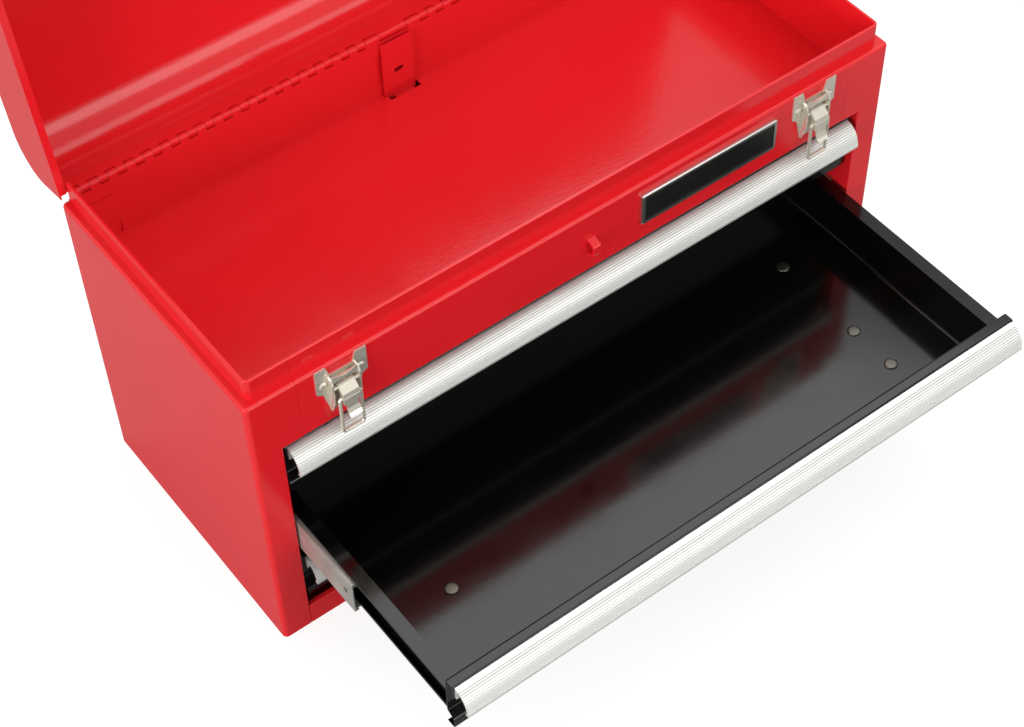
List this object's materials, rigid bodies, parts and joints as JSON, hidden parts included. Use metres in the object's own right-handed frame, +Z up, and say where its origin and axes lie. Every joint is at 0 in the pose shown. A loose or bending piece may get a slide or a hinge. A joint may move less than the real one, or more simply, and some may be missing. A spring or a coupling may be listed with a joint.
{
  "type": "portable tool box with drawers",
  "caption": "Portable red sheet-steel tool box with a hinged lid over a top tray, black drawers on telescoping slides, ribbed aluminium pulls and draw latches.",
  "frame": {"origin": "centre of the flat bottom face of the box", "axes": "+Z up, front with the drawers and latches towards -Y, +X to the right seen from the front"},
  "size_m": [0.5206, 0.4828, 0.4758],
  "materials": {
    "red_paint": "gloss",
    "black_paint": "gloss",
    "pull_aluminium": "satin",
    "zinc": "zinc plated",
    "nickel": "nickel plated",
    "plate_black": "gloss",
    "handle_black": "dipped"
  },
  "bodies": {
    "cabinet": {"back_panel": "red_paint", "bottom_pan": "red_paint", "front_upper_panel": "red_paint", "hinge_lower_leaf": "red_paint", "hinge_pin": "zinc", "latch_base_left": "nickel", "latch_base_right": "nickel", "latch_pins": "nickel", "latch_rivets": "nickel", "left_side": "red_paint", "name_plate": "plate_black", "padlock_staple": "red_paint", "rear_post_left": "zinc", "rear_post_right": "zinc", "right_side": "red_paint", "slide_outer_bottom_left": "zinc", "slide_outer_bottom_right": "zinc", "slide_outer_middle_left": "zinc", "slide_outer_middle_right": "zinc", "slide_outer_top_left": "zinc", "slide_outer_top_right": "zinc", "tray_floor": "red_paint"},
    "lid": {"lid_shell": "red_paint", "lid_end_left": "red_paint", "lid_end_right": "red_paint", "hinge_upper_leaf": "red_paint", "strike_left": "nickel", "strike_right": "nickel", "hasp_bracket": "nickel", "lid_rivets": "nickel", "handle_brackets": "nickel"},
    "carry_handle": {"carry_handle": "handle_black"},
    "hasp": {"hasp": "nickel"},
    "lock_strap": {"lock_strap": "red_paint"},
    "latch_lever_left": {"latch_lever_left": "nickel"},
    "latch_lever_right": {"latch_lever_right": "nickel"},
    "latch_bail_left": {"latch_bail_left": "nickel"},
    "latch_bail_right": {"latch_bail_right": "nickel"},
    "drawer_top": {"drawer_pan_top": "black_paint", "drawer_front_top": "black_paint", "drawer_pull_top": "pull_aluminium", "slide_inner_top_left": "black_paint", "slide_inner_top_right": "black_paint"},
    "slides_top": {"slide_middle_top_left": "zinc", "slide_middle_top_right": "zinc"},
    "drawer_middle": {"drawer_pan_middle": "black_paint", "drawer_front_middle": "black_paint", "drawer_pull_middle": "pull_aluminium", "slide_inner_middle_left": "black_paint", "slide_inner_middle_right": "black_paint"},
    "slides_middle": {"slide_middle_middle_left": "zinc", "slide_middle_middle_right": "zinc"},
    "drawer_bottom": {"drawer_pan_bottom": "black_paint", "drawer_front_bottom": "black_paint", "drawer_pull_bottom": "pull_aluminium", "slide_inner_bottom_left": "black_paint", "slide_inner_bottom_right": "black_paint"},
    "slides_bottom": {"slide_middle_bottom_left": "zinc", "slide_middle_bottom_right": "zinc"}
  },
  "joints": [
    {"name": "lid_hinge", "type": "hinge", "parent": "cabinet", "child": "lid", "pos_m": [0, 0.1094, 0.25], "axis": [1, 0, 0], "range_deg": [0, 100.5]},
    {"name": "lock_strap_slide", "type": "slide", "parent": "cabinet", "child": "lock_strap", "axis": [0, 0, 1], "range_m": [-0.009, 0]},
    {"name": "drawer_slide_top", "type": "slide", "parent": "cabinet", "child": "drawer_top", "axis": [0, -1, 0], "range_m": [0, 0.1716]},
    {"name": "slides_run_top", "type": "slide", "parent": "cabinet", "child": "slides_top", "axis": [0, -1, 0], "range_m": [0, 0.0858]},
    {"name": "drawer_slide_middle", "type": "slide", "parent": "cabinet", "child": "drawer_middle", "axis": [0, -1, 0], "range_m": [-0.1716, 0]},
    {"name": "slides_run_middle", "type": "slide", "parent": "cabinet", "child": "slides_middle", "axis": [0, -1, 0], "range_m": [-0.0858, 0]},
    {"name": "drawer_slide_bottom", "type": "slide", "parent": "cabinet", "child": "drawer_bottom", "axis": [0, -1, 0], "range_m": [0, 0.1716]},
    {"name": "slides_run_bottom", "type": "slide", "parent": "cabinet", "child": "slides_bottom", "axis": [0, -1, 0], "range_m": [0, 0.0858]},
    {"name": "latch_lever_pivot_left", "type": "hinge", "parent": "cabinet", "child": "latch_lever_left", "pos_m": [-0.1923, -0.1132, 0.228], "axis": [-1, 0, 0], "range_deg": [0, 95]},
    {"name": "latch_bail_pivot_left", "type": "hinge", "parent": "latch_lever_left", "child": "latch_bail_left", "pos_m": [-0.1923, -0.1175, 0.221], "axis": [1, 0, 0], "range_deg": [-180, 0]},
    {"name": "latch_lever_pivot_right", "type": "hinge", "parent": "cabinet", "child": "latch_lever_right", "pos_m": [0.1923, -0.1132, 0.228], "axis": [-1, 0, 0], "range_deg": [0, 95]},
    {"name": "latch_bail_pivot_right", "type": "hinge", "parent": "latch_lever_right", "child": "latch_bail_right", "pos_m": [0.1923, -0.1175, 0.221], "axis": [1, 0, 0], "range_deg": [-180, 0]},
    {"name": "handle_pivot", "type": "hinge", "parent": "lid", "child": "carry_handle", "pos_m": [0, 0.1842, 0.3474], "axis": [1, 0, 0], "range_deg": [-10, 95]},
    {"name": "hasp_pivot", "type": "hinge", "parent": "lid", "child": "hasp", "pos_m": [0, 0.15459, 0.46639], "axis": [1, 0, 0], "range_deg": [-100, 0]}
  ],
  "couplings": [
    {"joint": "lock_strap_slide", "follows": "lid_hinge", "m_per_rad": -0.004846},
    {"joint": "slides_run_top", "follows": "drawer_slide_top", "ratio": 0.5},
    {"joint": "slides_run_middle", "follows": "drawer_slide_middle", "ratio": 0.5},
    {"joint": "slides_run_bottom", "follows": "drawer_slide_bottom", "ratio": 0.5}
  ]
}
